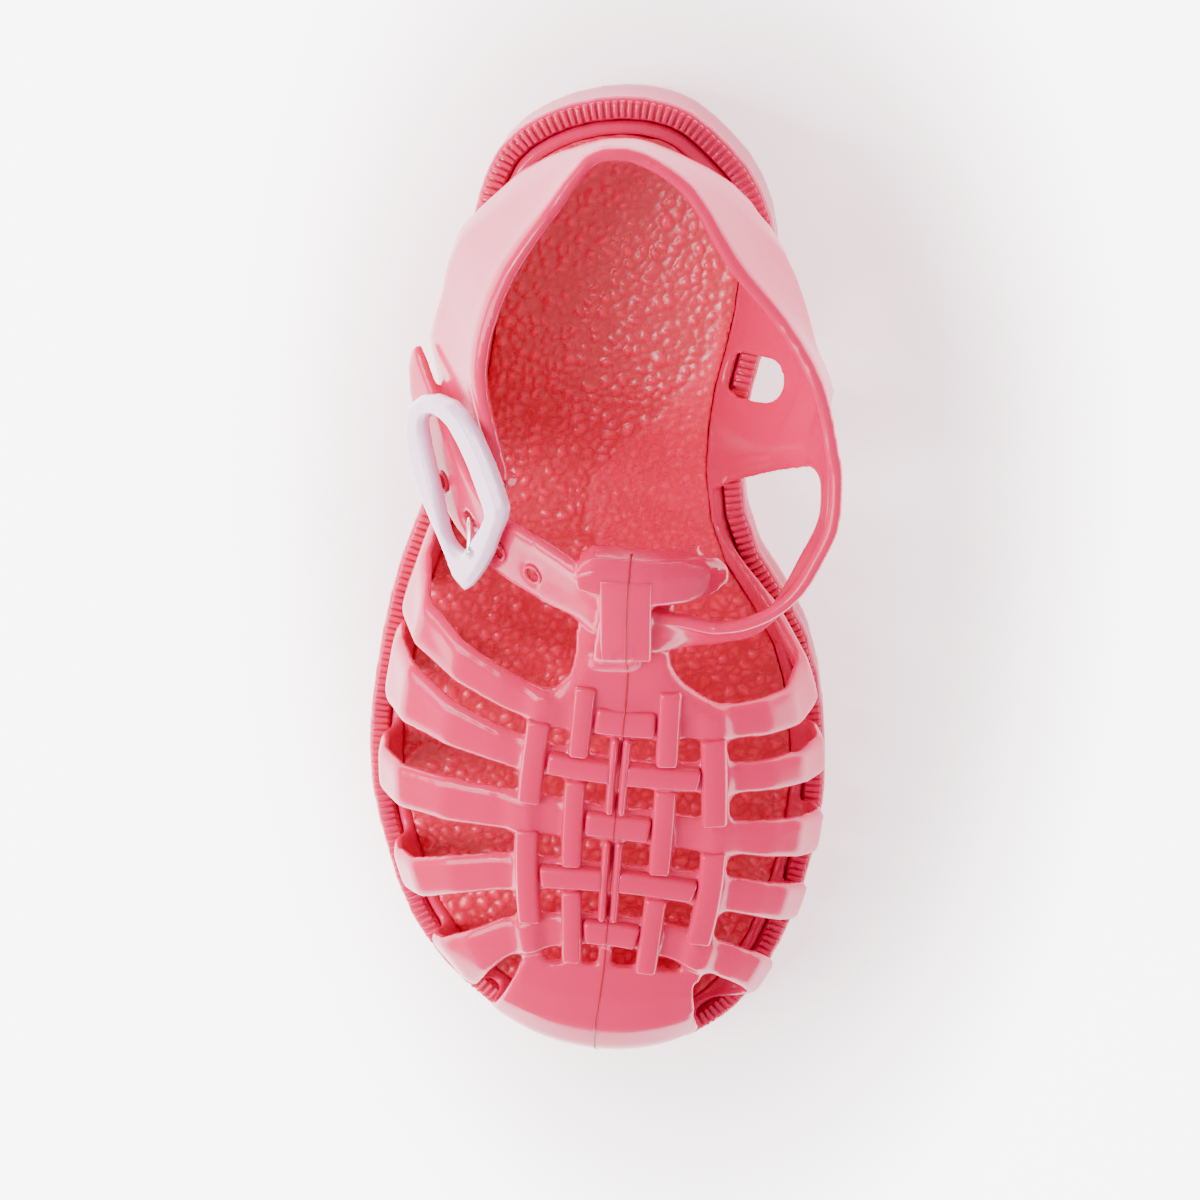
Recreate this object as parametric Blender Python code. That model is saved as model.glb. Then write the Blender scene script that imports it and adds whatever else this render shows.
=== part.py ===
# Child's moulded jelly sandal, right shoe: sole, insole, woven upper, strap buckle and prong.
# Toe towards -Y, heel towards +Y, +X is the inner (medial) side, +Z up, floor at Z = 0.
import bpy
import bmesh
from math import acos, cos, pi, radians, sin
from mathutils import Matrix, Vector

MM = 0.001

# Overall sizes
SOLE_LENGTH = 172.0 * MM
BALL_WIDTH = 80.0 * MM
COLLAR_HEIGHT = 52.0 * MM
INSTEP_HEIGHT = 52.0 * MM

# Sole
HEEL_THICKNESS = 16.0 * MM
BALL_THICKNESS = 9.5 * MM
TOE_THICKNESS = 8.0 * MM
TOE_SPRING = 5.5 * MM
ARCH_RISE = 3.0 * MM
FLANGE_WIDTH = 3.4 * MM
FLANGE_THICKNESS = 2.6 * MM
FLANGE_OVERHANG = 1.2 * MM
FOOTBED_DEPTH = 3.0 * MM
TREAD_DEPTH = 1.2 * MM
TREAD_GROOVE = 2.4 * MM

# Insole
INSOLE_DISH = 1.0 * MM
INSOLE_ABOVE_FLANGE = 0.2 * MM

# Upper
RING_WIDTH = 2.4 * MM
RING_ABOVE_FLANGE = 0.6 * MM
WALL = 2.0 * MM
WEAVE_RAISE = 1.3 * MM
BEAD_RUN = 12.0 * MM
TONGUE_WALL = 1.6 * MM
TONGUE_STEP = 0.4 * MM
WEAVE_SEAT = 0.3 * MM
KEEPER_WALL = 1.8 * MM
BAR_END_HEIGHT = 6.0 * MM
BULGE_LATERAL = 0.6 * MM
BULGE_MEDIAL = 3.6 * MM
STRAP_HOLE = 2.4 * MM

# Buckle
BUCKLE_LENGTH = 33.3 * MM
BUCKLE_WIDTH = 23.5 * MM
BUCKLE_THICKNESS = 2.4 * MM
BUCKLE_OVER_STRAP = 1.1 * MM
BAR_RADIUS = 0.9 * MM
BAR_DEPTH = 3.7 * MM
SHEATH_WALL = 0.7 * MM
PRONG_RADIUS = 0.6 * MM

# Gap left between pieces that lie against each other
GAP = 0.3 * MM

# Feet of straps and walls in the ring: half thickness, reach above and below the flange's top
FOOT_HALF = 0.9 * MM
WALL_FOOT_HALF = 0.75 * MM
CAP_FOOT_HALF = 0.82 * MM
FOOT_ABOVE = 0.5 * MM
FOOT_BELOW = 0.7 * MM

# Sampling
OUTLINE_STEPS = 36
STRAP_STEPS = 20
TAIL_ROWS = 7

# Outer edge of the sole seen from above: along (share of the length from the heel),
# outer and inner edge (shares of the ball width from the centre line)
SOLE_OUTLINE = [
    # along, lateral, medial
    (0.000, 0.075, 0.075),
    (0.010, -0.055, 0.190),
    (0.040, -0.165, 0.275),
    (0.080, -0.215, 0.345),
    (0.140, -0.250, 0.385),
    (0.220, -0.275, 0.370),
    (0.300, -0.310, 0.325),
    (0.360, -0.340, 0.312),
    (0.410, -0.380, 0.317),
    (0.460, -0.425, 0.350),
    (0.520, -0.465, 0.425),
    (0.580, -0.495, 0.465),
    (0.650, -0.520, 0.483),
    (0.720, -0.520, 0.482),
    (0.790, -0.490, 0.455),
    (0.850, -0.450, 0.415),
    (0.905, -0.375, 0.360),
    (0.950, -0.275, 0.290),
    (0.985, -0.150, 0.180),
    (1.000, 0.020, 0.020),
]

# Lift of the underside off the floor: where the arch starts, is highest and ends, and where the
# toe spring starts
ARCH_RUN = (0.28, 0.43, 0.58)
SPRING_START = 0.76

# Tread: places along the foot of the cross grooves, and how far they stay off the sole's edge
TREAD_GROOVES = (0.055, 0.100, 0.145, 0.190, 0.235, 0.610, 0.655, 0.700, 0.745)
TREAD_MARGIN = 7.0 * MM

# Top of the flange: along, shares of the heel, ball and toe heights
SOLE_TOP = [
    (0.00, 1.00, 0.00, 0.00),
    (0.28, 1.00, 0.00, 0.00),
    (0.45, 0.52, 0.48, 0.00),
    (0.62, 0.00, 1.00, 0.00),
    (0.78, 0.00, 1.00, 0.00),
    (0.90, 0.00, 0.55, 0.45),
    (1.00, 0.00, 0.00, 1.00),
]

# Ridge of the last over the forefoot: along, height (share of the instep height),
# distance from the centre line (share of the ball width)
LAST_RIDGE = [
    (0.34, 1.060, 0.122),
    (0.40, 0.990, 0.122),
    (0.45, 0.920, 0.115),
    (0.50, 0.850, 0.107),
    (0.57, 0.765, 0.090),
    (0.65, 0.690, 0.068),
    (0.72, 0.630, 0.050),
    (0.80, 0.570, 0.030),
    (0.87, 0.520, 0.010),
    (0.93, 0.470, -0.003),
    (1.00, 0.400, -0.010),
]

# Half a section of the last, from the ridge down to the sole's edge: place, share of the
# half width, share of the height, share of the side bulge
LAST_SECTION = [
    (0.00, 0.000, 1.000, 0.0),
    (0.20, 0.330, 0.975, 0.1),
    (0.45, 0.680, 0.860, 0.4),
    (0.68, 0.920, 0.600, 0.9),
    (0.85, 1.000, 0.280, 1.0),
    (1.00, 1.000, 0.000, 0.0),
]

# Cross straps, from the rear forwards. Each row: place across the last (-1 outer edge of the
# sole, 0 ridge, 1 inner edge), rear edge and front edge (shares of the length)
CROSS_STRAPS = {
    "C1": [
        (-1.00, 0.388, 0.490),
        (-0.85, 0.412, 0.500),
        (-0.62, 0.470, 0.520),
        (-0.42, 0.502, 0.550),
        (-0.22, 0.536, 0.577),
        (0.00, 0.550, 0.593),
        (0.30, 0.556, 0.597),
        (0.55, 0.560, 0.606),
        (0.75, 0.552, 0.604),
        (0.88, 0.515, 0.585),
        (1.00, 0.425, 0.545),
    ],
    "C2": [
        (-1.00, 0.520, 0.592),
        (-0.75, 0.522, 0.600),
        (-0.55, 0.552, 0.610),
        (-0.25, 0.592, 0.632),
        (0.00, 0.616, 0.646),
        (0.30, 0.623, 0.660),
        (0.60, 0.630, 0.670),
        (1.00, 0.630, 0.680),
    ],
    "C3": [
        (-1.00, 0.640, 0.692),
        (-0.70, 0.646, 0.700),
        (-0.38, 0.650, 0.702),
        (0.00, 0.672, 0.712),
        (0.30, 0.688, 0.728),
        (0.60, 0.702, 0.750),
        (1.00, 0.722, 0.778),
    ],
    "C4": [
        (-1.00, 0.758, 0.812),
        (-0.65, 0.754, 0.803),
        (-0.35, 0.731, 0.778),
        (0.00, 0.740, 0.772),
        (0.35, 0.755, 0.797),
        (0.70, 0.785, 0.830),
        (1.00, 0.812, 0.852),
    ],
    "C5": [
        (-1.00, 0.862, 0.922),
        (-0.60, 0.843, 0.898),
        (-0.30, 0.805, 0.852),
        (0.00, 0.800, 0.836),
        (0.30, 0.821, 0.862),
        (0.60, 0.856, 0.898),
        (1.00, 0.905, 0.945),
    ],
}

# Lengthwise strips: rear and front end (shares of the length), centre across the last at the
# rear and at the front, width across the last at the rear and at the front
LENGTH_STRIPS = {
    "V1": (0.560, 0.872, -0.220, -0.250, 0.065, 0.080),
    "V2": (0.535, 0.885, -0.118, -0.112, 0.048, 0.056),
    "V3": (0.580, 0.885, -0.018, -0.005, 0.044, 0.050),
    "V4": (0.540, 0.885, 0.140, 0.150, 0.062, 0.078),
    "V5": (0.575, 0.885, 0.312, 0.350, 0.105, 0.105),
}

# Toe cap: share along its rear edge, place along the foot and across the last
TOE_CAP_REAR = [
    (0.00, 0.858, -0.300),
    (0.30, 0.858, -0.120),
    (0.55, 0.862, 0.040),
    (0.80, 0.866, 0.200),
    (1.00, 0.874, 0.350),
]
# Toe cap profile from its rear edge to the sole: share of the way, of the height, of the bulge
TOE_CAP_PROFILE = [
    (0.00, 0.000, 1.000, 0.0),
    (0.25, 0.330, 0.955, 0.0),
    (0.50, 0.650, 0.830, 0.2),
    (0.72, 0.880, 0.600, 0.7),
    (0.88, 0.990, 0.300, 1.0),
    (1.00, 1.000, 0.000, 0.0),
]
TOE_CAP_BULGE = 1.2 * MM
TOE_CAP_FOOT = (0.925, 0.948)   # where its two sides reach the sole, outer and inner side

# Tongue from the first cross strap up to the bar end: along, left and right edge across
TONGUE = [
    # along, across left, across right
    (0.385, 0.020, 0.235),
    (0.412, 0.040, 0.190),
    (0.440, 0.000, 0.185),
    (0.470, -0.012, 0.180),
    (0.500, -0.020, 0.172),
    (0.522, -0.035, 0.185),
    (0.540, -0.075, 0.215),
    (0.558, -0.140, 0.262),
]
# Bar end that closes the keeper: along left edge / right edge and across
BAR_END = [
    # across, rear edge, front edge
    (0.008, 0.382, 0.405),
    (0.030, 0.374, 0.412),
    (0.100, 0.376, 0.420),
    (0.200, 0.384, 0.428),
    (0.240, 0.396, 0.424),
]
KEEPER_RUN = (0.412, 0.505)
KEEPER_ACROSS = (0.098, 0.060)
KEEPER_WIDTH = 7.6 * MM

# Heel wall and collar, from the outer quarter's front round the heel to the inner quarter's
# front. Rim, widest place and foot, each as along, across (shares of the length and of the ball
# width) and up (share of the collar height), then how far down the wall reaches towards the foot
HEEL_WALL = [
    ("outer front", (0.331, -0.148, 0.846), (0.345, -0.262, 0.560), (0.394, -0.305, 0.256), 1.00),
    ("outer recess", (0.290, -0.163, 0.885), (0.295, -0.280, 0.550), (0.340, -0.292, 0.262), 1.00),
    ("outer step", (0.257, -0.176, 0.912), (0.246, -0.290, 0.540), (0.292, -0.286, 0.268), 1.00),
    ("outer mid", (0.222, -0.180, 0.934), (0.212, -0.309, 0.538), (0.250, -0.268, 0.280), 1.00),
    ("outer rear", (0.180, -0.163, 0.962), (0.172, -0.281, 0.538), (0.208, -0.223, 0.298), 1.00),
    ("outer heel", (0.126, -0.114, 0.971), (0.117, -0.243, 0.538), (0.126, -0.185, 0.308), 1.00),
    ("heel left", (0.071, -0.029, 0.967), (0.060, -0.108, 0.596), (0.074, -0.116, 0.308), 0.66),
    ("heel left back", (0.027, 0.041, 0.962), (0.028, 0.020, 0.692), (0.039, 0.009, 0.308), 0.50),
    ("heel back", (0.022, 0.087, 0.962), (0.023, 0.086, 0.692), (0.030, 0.077, 0.308), 0.46),
    ("heel right back", (0.026, 0.140, 0.962), (0.026, 0.141, 0.692), (0.039, 0.146, 0.308), 0.47),
    ("heel right", (0.053, 0.223, 0.962), (0.054, 0.251, 0.654), (0.068, 0.234, 0.308), 0.56),
    ("inner heel", (0.097, 0.277, 0.962), (0.093, 0.338, 0.615), (0.097, 0.284, 0.308), 0.76),
    ("inner rear", (0.128, 0.318, 0.962), (0.135, 0.400, 0.538), (0.149, 0.325, 0.308), 1.00),
    ("inner mid rear", (0.159, 0.374, 0.962), (0.184, 0.438, 0.600), (0.196, 0.309, 0.294), 1.00),
    ("inner mid", (0.195, 0.431, 0.981), (0.224, 0.453, 0.635), (0.240, 0.295, 0.288), 1.00),
    ("inner mid front", (0.229, 0.466, 1.000), (0.257, 0.480, 0.673), (0.283, 0.280, 0.279), 1.00),
    ("inner front", (0.263, 0.489, 1.000), (0.289, 0.453, 0.692), (0.326, 0.263, 0.273), 1.00),
    ("strap root", (0.288, 0.501, 1.000), (0.312, 0.431, 0.690), (0.360, 0.263, 0.265), 1.00),
    ("quarter edge", (0.312, 0.511, 1.000), (0.333, 0.436, 0.660), (0.386, 0.263, 0.258), 1.00),
]
# Window low in the inner quarter: centre and size along and up
WINDOW_ALONG = 0.264
WINDOW_LENGTH = 6.2 * MM
WINDOW_HEIGHT = 9.6 * MM

# Ankle strap on from the inner quarter: upper edge and lower edge, each as along, across and
# up. Rows marked "tongue" lie on the tongue instead of at a height of their own
ANKLE_STRAP = [
    ("inner side 1", (0.352, 0.507, 1.000), (0.354, 0.484, 0.808)),
    ("inner side 3", (0.369, 0.499, 1.000), (0.378, 0.472, 0.808)),
    ("inner side 4", (0.394, 0.473, 1.000), (0.406, 0.441, 0.815)),
    ("inner turn 1", (0.419, 0.442, 1.000), (0.432, 0.414, 0.815)),
    ("inner turn 2", (0.438, 0.397, 1.000), (0.462, 0.380, 0.815)),
    ("inner turn 3", (0.448, 0.354, 1.000), (0.479, 0.346, 0.825)),
    ("before the keeper 1", (0.455, 0.306, 1.000), (0.484, 0.302, 0.835)),
    ("before the keeper 2", (0.456, 0.259, 0.990), (0.486, 0.254, 0.840)),
    ("before the keeper 3", (0.450, 0.212, 0.985), (0.488, 0.205, 0.860)),
    ("tongue", (0.438, 0.154, 1.030), (0.483, 0.140, 0.890)),
    ("tongue", (0.426, 0.108, 1.040), (0.476, 0.093, 0.915)),
    ("tongue", (0.414, 0.064, 1.045), (0.468, 0.047, 0.925)),
    ("over the instep 1", (0.397, 0.004, 1.015), (0.457, 0.001, 0.920)),
    ("over the instep 2", (0.378, -0.071, 0.955), (0.445, -0.077, 0.865)),
    ("over the instep 3", (0.362, -0.147, 0.885), (0.430, -0.160, 0.790)),
    ("buckle 1", (0.345, -0.197, 0.825), (0.408, -0.232, 0.702)),
    ("buckle 2", (0.322, -0.232, 0.770), (0.382, -0.281, 0.635)),
    ("buckle 3", (0.297, -0.262, 0.715), (0.348, -0.318, 0.580)),
    ("tail 1", (0.270, -0.290, 0.660), (0.308, -0.344, 0.540)),
    ("tail 2", (0.240, -0.314, 0.622), (0.262, -0.362, 0.530)),
    ("tail end", (0.214, -0.336, 0.597), (0.226, -0.354, 0.550)),
]

# Cross-sections of straps: share of the width, share of the wall
STRAP_SECTION = [(0.00, 0.00), (0.00, 0.62), (0.15, 1.00), (0.85, 1.00), (1.00, 0.62), (1.00, 0.00)]
# Half a section of the heel wall with its bead: share of the height down from the rim (of the
# bead's run where it is under 0.2), share of half the wall
BAND_SECTION = [
    (-0.035, 0.50),
    (0.02, 1.25),
    (0.10, 1.35),
    (0.18, 1.00),
    (0.40, 1.00),
    (0.65, 1.00),
    (0.87, 1.00),
    (1.00, 1.00),
]
# The same for the ankle strap
STRAP_BAND_SECTION = [
    (-0.035, 0.50),
    (0.02, 1.25),
    (0.10, 1.35),
    (0.18, 1.00),
    (0.50, 1.00),
    (0.88, 1.00),
    (1.00, 0.60),
]
STRAP_ROOT_REACH = 0.29
STRAP_THINNER = 0.92

# Buckle: its middle lies over this row of the strap, its long side runs along the foot, and it
# is turned about that side off the strap's own slope
BUCKLE_ROW = ("buckle 1", 0.65)
BUCKLE_RUN = (0.132, -0.984, 0.122)
BUCKLE_TILT = radians(-6)
# Frame, station by station round it: outer edge and inner edge, each as shares of the buckle's
# length and width
BUCKLE_OUTLINE = [
    ((-0.420, -0.255), (-0.396, -0.043)),
    ((-0.529, -0.145), (-0.444, -0.017)),
    ((-0.577, 0.034), (-0.480, 0.051)),
    ((-0.577, 0.204), (-0.483, 0.128)),
    ((-0.541, 0.383), (-0.459, 0.204)),
    ((-0.480, 0.494), (-0.417, 0.272)),
    ((-0.378, 0.579), (-0.330, 0.336)),
    ((-0.240, 0.643), (-0.225, 0.387)),
    ((-0.120, 0.681), (-0.102, 0.421)),
    ((-0.012, 0.694), (-0.018, 0.447)),
    ((0.048, 0.638), (0.024, 0.443)),
    ((0.126, 0.519), (0.078, 0.362)),
    ((0.228, 0.379), (0.138, 0.238)),
    ((0.318, 0.221), (0.186, 0.136)),
    ((0.390, 0.060), (0.216, 0.064)),
    ((0.417, -0.034), (0.207, 0.009)),
    ((0.372, -0.111), (0.168, -0.060)),
    ((0.258, -0.136), (0.120, -0.089)),
    ((0.144, -0.183), (0.048, -0.089)),
    ((0.030, -0.247), (-0.042, -0.077)),
    ((-0.096, -0.302), (-0.132, -0.068)),
    ((-0.222, -0.315), (-0.222, -0.064)),
    ((-0.324, -0.306), (-0.312, -0.055)),
]
# Half of the frame's section is rounder on top: share of the way outwards, of half the thickness
BUCKLE_SECTION = [(0.06, -1.0), (0.00, -0.4), (0.00, 0.45), (0.16, 1.0),
                  (0.78, 1.0), (1.00, 0.4), (1.00, -0.4), (0.92, -1.0)]
# Centre bar with its two legs up to the frame: share of the buckle's width, level (-1 at the
# bar, 0 at the middle of the strap, 1 on top of the frame)
BAR_ALONG = -0.084
BAR_PATH = [
    (0.494, 0.70),
    (0.450, 0.50),
    (0.366, 0.20),
    (0.340, -0.25),
    (0.332, -0.78),
    (0.298, -1.00),
    (-0.349, -1.00),
    (-0.404, -0.74),
    (-0.413, 0.06),
    (-0.366, 0.45),
    (-0.255, 0.69),
]
BORE_PART = slice(2, 7)     # the stretch of the bar that runs through the upper
SHEATH_RUN = (-0.162, 0.400)
# Prong: where it loops round the bar, then its way up through the strap onto the frame, as
# shares of the buckle's length and width and as a level
PRONG_ACROSS = -0.085
PRONG_LOOP = (radians(75), radians(335), 8)
PRONG_PATH = [
    (0.018, -0.051, -0.78),
    (0.039, -0.021, -0.50),
    (0.060, 0.009, -0.22),
    (0.081, 0.036, 0.07),
    (0.125, 0.092, 0.38),
    (0.169, 0.148, 0.70),
    (0.213, 0.204, 1.01),
]
PRONG_HOLE = slice(0, 5)    # the stretch of the prong that runs through the strap
PRONG_REST = slice(4, 7)    # the stretch that lies in a notch of the frame
# Other holes of the strap: row of the strap, share on to the next row, share of the way down
STRAP_HOLES = [
    ("buckle 2", 0.55, 0.66),
    ("over the instep 3", 0.15, 0.55),
    ("over the instep 2", 0.20, 0.58),
]

UPPER_ROUGHNESS = 0.22
JELLY = (0.86, 0.10, 0.16, 1.0)
JELLY_DEEP = (0.70, 0.03, 0.06, 1.0)
BUCKLE_WHITE = (0.88, 0.86, 0.90, 1.0)
PRONG_METAL = (0.75, 0.75, 0.77, 1.0)


def smooth_value(rows, column, place, key=0, warp=None):
    """Value of one table column at a place, on a smooth curve through the rows."""
    places = [warp(row[key]) if warp else row[key] for row in rows]
    values = [row[column] for row in rows]
    place = warp(place) if warp else place
    if place <= places[0]:
        return values[0]
    if place >= places[-1]:
        return values[-1]
    i = max(k for k in range(len(places) - 1) if places[k] <= place)
    span = places[i + 1] - places[i]

    def slope(k):
        lo, hi = max(k - 1, 0), min(k + 1, len(places) - 1)
        return (values[hi] - values[lo]) / (places[hi] - places[lo])

    q = (place - places[i]) / span
    start, end = values[i], values[i + 1]
    return ((2 * q ** 3 - 3 * q ** 2 + 1) * start + (q ** 3 - 2 * q ** 2 + q) * slope(i) * span
            + (3 * q ** 2 - 2 * q ** 3) * end + (q ** 3 - q ** 2) * slope(i + 1) * span)


def half_turn(along):
    """Angle share of a place along the sole, so that round ends stay round."""
    return acos(1 - 2 * min(1.0, max(0.0, along))) / pi


def y_at(along):
    return SOLE_LENGTH * (0.5 - along)


def along_at(y):
    return 0.5 - y / SOLE_LENGTH


def eased(share):
    share = min(1.0, max(0.0, share))
    return share * share * (3 - 2 * share)


def underside(along):
    start, top, end = ARCH_RUN
    arch = eased((along - start) / (top - start)) * eased((end - along) / (end - top))
    toe = max(0.0, (along - SPRING_START) / (1 - SPRING_START)) ** 2
    return ARCH_RISE * arch + TOE_SPRING * toe


def flange_top(along):
    heel = smooth_value(SOLE_TOP, 1, along)
    ball = smooth_value(SOLE_TOP, 2, along)
    toe = smooth_value(SOLE_TOP, 3, along)
    return HEEL_THICKNESS * heel + BALL_THICKNESS * ball + (TOE_THICKNESS + TOE_SPRING) * toe


def outline(inset):
    """Closed outline of the sole moved inwards: heel, outer side, toe, inner side."""
    steps = [k / OUTLINE_STEPS for k in range(OUTLINE_STEPS + 1)]
    outer, inner = [], []
    for t in steps:
        along = (1 - cos(pi * t)) / 2
        for side, column in ((outer, 1), (inner, 2)):
            x = BALL_WIDTH * smooth_value(SOLE_OUTLINE, column, along, warp=half_turn)
            side.append(Vector((x, y_at(along), 0)))
    edge = outer + inner[-2:0:-1]
    moved = []
    for i, point in enumerate(edge):
        run = edge[(i + 1) % len(edge)] - edge[i - 1]
        inwards = Vector((-run.y, run.x, 0)).normalized()
        moved.append(point + inwards * inset)
    return moved


def at_height(points, height):
    """Outline points lifted by a function of the place along the foot and a fixed part."""
    level, extra = height
    return [Vector((p.x, p.y, level(along_at(p.y)) + extra)) for p in points]


def new_object(name, bm, collection):
    bmesh.ops.recalc_face_normals(bm, faces=bm.faces)
    mesh = bpy.data.meshes.new(name)
    bm.to_mesh(mesh)
    bm.free()
    obj = bpy.data.objects.new(name, mesh)
    collection.objects.link(obj)
    return obj


def loft(name, rings, collection, closed=False):
    """Closed body through rings of points. Each ring runs down one side and back up the other,
    so that its ends are capped by rungs, or they are joined to each other."""
    bm = bmesh.new()
    rows = [[bm.verts.new(p) for p in ring] for ring in rings]
    count = len(rings[0])
    pairs = list(zip(rows, rows[1:])) + ([(rows[-1], rows[0])] if closed else [])
    for low, high in pairs:
        for i in range(count):
            j = (i + 1) % count
            bm.faces.new((low[i], low[j], high[j], high[i]))
    if not closed:
        for cap in (rows[0], rows[-1]):
            for i in range(count // 2 - 1):
                bm.faces.new((cap[i], cap[i + 1], cap[count - 2 - i], cap[count - 1 - i]))
    return new_object(name, bm, collection)


def ladder(bm, ring, columns, lift):
    """Fill a ring that runs down one side and back up the other with rungs between the sides."""
    count = len(ring)
    half = count // 2
    rungs = []
    for k in range(1, half):
        left, right = ring[k], ring[count - k]
        rung = [left]
        for c in range(1, columns):
            share = c / columns
            co = left.co.lerp(right.co, share)
            co.z += lift(2 * share - 1)
            rung.append(bm.verts.new(co))
        rung.append(right)
        rungs.append(rung)
    for low, high in zip(rungs, rungs[1:]):
        for c in range(columns):
            bm.faces.new((low[c], low[c + 1], high[c + 1], high[c]))
    bm.faces.new([ring[0]] + rungs[0])
    bm.faces.new([ring[half]] + rungs[-1])


def boolean(target, tool, operation):
    """Join or cut with another object, then remove that object."""
    modifier = target.modifiers.new(operation.title(), "BOOLEAN")
    modifier.operation = operation
    modifier.solver = "EXACT"
    modifier.object = tool
    depsgraph = bpy.context.evaluated_depsgraph_get()
    mesh = bpy.data.meshes.new_from_object(target.evaluated_get(depsgraph))
    target.modifiers.remove(modifier)
    target.data = mesh
    bpy.data.objects.remove(tool)


def join_all(name, parts):
    """One solid from several that run into each other."""
    body = parts[0]
    for other in parts[1:]:
        boolean(body, other, "UNION")
    body.name = name
    body.data.name = name
    return body


def material(name, colour, roughness, metallic=0.0):
    mat = bpy.data.materials.new(name)
    mat.use_nodes = True
    shader = mat.node_tree.nodes["Principled BSDF"]
    shader.inputs["Base Color"].default_value = colour
    shader.inputs["Roughness"].default_value = roughness
    shader.inputs["Metallic"].default_value = metallic
    return mat


def shade(obj, mat, angle=40):
    obj.data.materials.clear()
    obj.data.materials.append(mat)
    obj.data.shade_smooth()
    obj.data.set_sharp_from_angle(angle=radians(angle))


EDGE = outline(0.0)
EDGE_STEP = 0.2 * MM
FEATHER_INSET = FLANGE_WIDTH + GAP + RING_WIDTH / 2
FEATHER = outline(FEATHER_INSET)
FEATHER_OUTER = FEATHER[:OUTLINE_STEPS + 1]
FEATHER_INNER = [FEATHER[0]] + FEATHER[:OUTLINE_STEPS - 1:-1]


def feather_x(side, y):
    """Where the upper meets the sole, on one side, at a place along the foot."""
    for near, far in zip(side, side[1:]):
        if far.y <= y <= near.y:
            share = (near.y - y) / max(near.y - far.y, 1e-9)
            return near.x + (far.x - near.x) * share
    return side[0].x if y > side[0].y else side[-1].x


def feather_z(along):
    return flange_top(along) + RING_ABOVE_FLANGE / 2


def on_last(along, across, height):
    """Point on the last, moved out from its surface by a height."""
    def surface(along, across):
        y = y_at(along)
        ridge_x = BALL_WIDTH * smooth_value(LAST_RIDGE, 2, along)
        ridge_z = INSTEP_HEIGHT * smooth_value(LAST_RIDGE, 1, along)
        side, bulge = (FEATHER_INNER, BULGE_MEDIAL) if across > 0 else (FEATHER_OUTER, -BULGE_LATERAL)
        place = min(abs(across), 1.0)
        out = smooth_value(LAST_SECTION, 1, place)
        up = smooth_value(LAST_SECTION, 2, place)
        belly = smooth_value(LAST_SECTION, 3, place)
        x = ridge_x + (feather_x(side, y) - ridge_x) * out + bulge * belly
        return Vector((x, y, feather_z(along) + (ridge_z - feather_z(along)) * up))

    here = surface(along, across)
    if not height:
        return here
    ahead = surface(along + 0.004, across) - surface(along - 0.004, across)
    aside = surface(along, min(across + 0.02, 1.0)) - surface(along, max(across - 0.02, -1.0))
    return here + ahead.cross(aside).normalized() * height


def last_across(along, x):
    """Place across the last at a distance from the centre line, by halving."""
    low, high = -0.8, 0.8
    for _ in range(24):
        middle = (low + high) / 2
        if on_last(along, middle, 0).x < x:
            low = middle
        else:
            high = middle
    return (low + high) / 2


def plateau(distance, half_width):
    """1 on top of a crossing, falling smoothly to 0 beside it."""
    share = (abs(distance) / half_width - 0.55) / 0.9
    return (1 + cos(pi * min(1.0, max(0.0, share)))) / 2


def strip_place(name, along):
    """Centre and width across the last of a lengthwise strip."""
    rear, front, centre_rear, centre_front, width_rear, width_front = LENGTH_STRIPS[name]
    share = min(1.0, max(0.0, (along - rear) / (front - rear)))
    return (centre_rear + (centre_front - centre_rear) * share,
            width_rear + (width_front - width_rear) * share)


def strip_on_top(strap, strip):
    return (int(strap[1]) + int(strip[1])) % 2 == 1


def in_ring(point, out, lift):
    """Point of a foot that stands in the rim's ring, a little to one side of its middle."""
    base = point + out
    base.z = flange_top(along_at(base.y)) + lift
    return base


def clear_of_flange(point):
    """Lift a point that would run into the flange of the sole."""
    nearest = min((point.xy - edge.xy).length for edge in EDGE)
    if nearest < FLANGE_WIDTH + GAP + EDGE_STEP:
        point.z = max(point.z, flange_top(along_at(point.y)) + GAP)
    return point


def cross_strap(name, collection):
    rows = CROSS_STRAPS[name]
    places = [-1.0, -0.92, -0.80, -0.66, -0.48, -0.34]
    places += [-0.34 + 0.038 * k for k in range(1, 21)]
    places += [0.53, 0.66, 0.80, 0.92, 1.0]
    rings = []
    for place in places:
        rear = smooth_value(rows, 1, place)
        front = smooth_value(rows, 2, place)
        raise_share = 0.0
        for strip in LENGTH_STRIPS:
            centre, width = strip_place(strip, (rear + front) / 2)
            if not strip_on_top(name, strip):
                raise_share = max(raise_share, plateau(place - centre, width / 2))
        wall = WALL + WEAVE_RAISE * raise_share
        rings.append([clear_of_flange(on_last(rear + (front - rear) * v, place, wall * h))
                      for v, h in STRAP_SECTION])
    for end, place in ((0, -1.0), (-1, 1.0)):
        rear = smooth_value(rows, 1, place)
        front = smooth_value(rows, 2, place)
        feet = []
        for lift in (FOOT_ABOVE, -FOOT_BELOW):
            feet.append([in_ring(on_last(rear + (front - rear) * v, place, 0.0),
                                 Vector((place * (2 * h - 1) * FOOT_HALF, 0, 0)), lift)
                         for v, h in STRAP_SECTION])
        rings[end] = feet[0]
        rings.insert(0 if end == 0 else len(rings), feet[1])
    return loft(name, rings, collection)


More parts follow.
